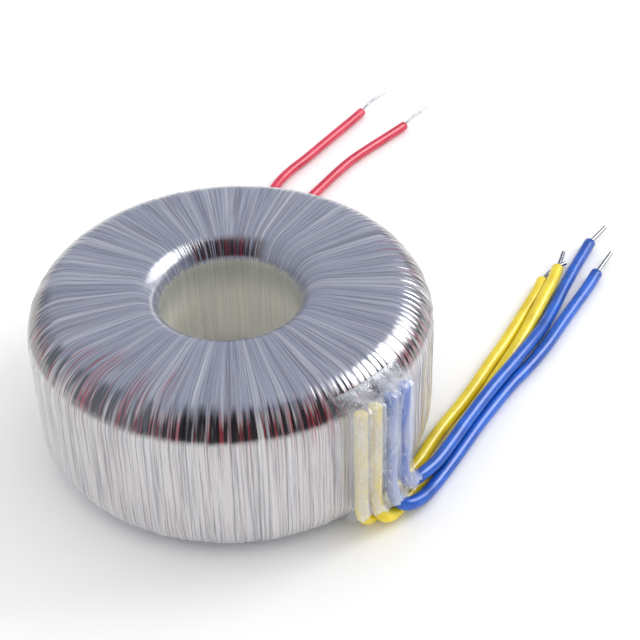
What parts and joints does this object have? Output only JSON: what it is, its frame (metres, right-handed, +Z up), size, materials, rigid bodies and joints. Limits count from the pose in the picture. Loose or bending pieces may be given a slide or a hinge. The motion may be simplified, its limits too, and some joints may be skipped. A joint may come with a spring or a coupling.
{
  "type": "toroidal transformer",
  "caption": "Ring-shaped mains transformer wound with clear film tape over enamelled wire, with a centre hole for its bolt and sleeved leads with bare ends lying beside it",
  "frame": {"origin": "centre of the centre hole, half way up the ring; the ring rests on the plane 25 mm below it", "axes": "+Z up along the hole's axis; -Y is the front, where the four secondary leads run down the ring's side towards +X; the primary leads leave at the back, towards +Y"},
  "size_m": [0.183, 0.2313, 0.05],
  "materials": {
    "core_steel": "grain-oriented silicon steel strip, wound and annealed, bluish grey",
    "inner_film": "clear polyester film in several layers, milky where it overlaps",
    "copper_wire": "enamelled copper wire, red-brown and glossy",
    "outer_film": "polyester film tape in lapped turns, glossy, cool grey with the winding showing faintly through",
    "lead_film": "clear polyester film with wrinkles, whitish where it stands off the ring",
    "yellow_sleeving": "soft PVC sleeving, yellow, satin to glossy",
    "blue_sleeving": "soft PVC sleeving, blue, satin to glossy",
    "red_sleeving": "soft PVC sleeving, crimson red, satin to glossy",
    "tinned_wire": "tinned copper wire, bright"
  },
  "bodies": {
    "root": {"core": "core_steel", "core_film": "inner_film", "primary_winding": "copper_wire", "winding_film": "inner_film", "blue_secondary": "copper_wire", "yellow_secondary": "copper_wire", "outer_tape": "outer_film", "secondary_lead_tape": "lead_film", "primary_lead_tape": "lead_film", "yellow_sleeve_1": "yellow_sleeving", "yellow_sleeve_2": "yellow_sleeving", "blue_sleeve_1": "blue_sleeving", "blue_sleeve_2": "blue_sleeving", "red_sleeve_1": "red_sleeving", "red_sleeve_2": "red_sleeving", "yellow_wire_1": "tinned_wire", "yellow_wire_2": "tinned_wire", "blue_wire_1": "tinned_wire", "blue_wire_2": "tinned_wire", "red_wire_1": "tinned_wire", "red_wire_2": "tinned_wire"}
  },
  "joints": []
}
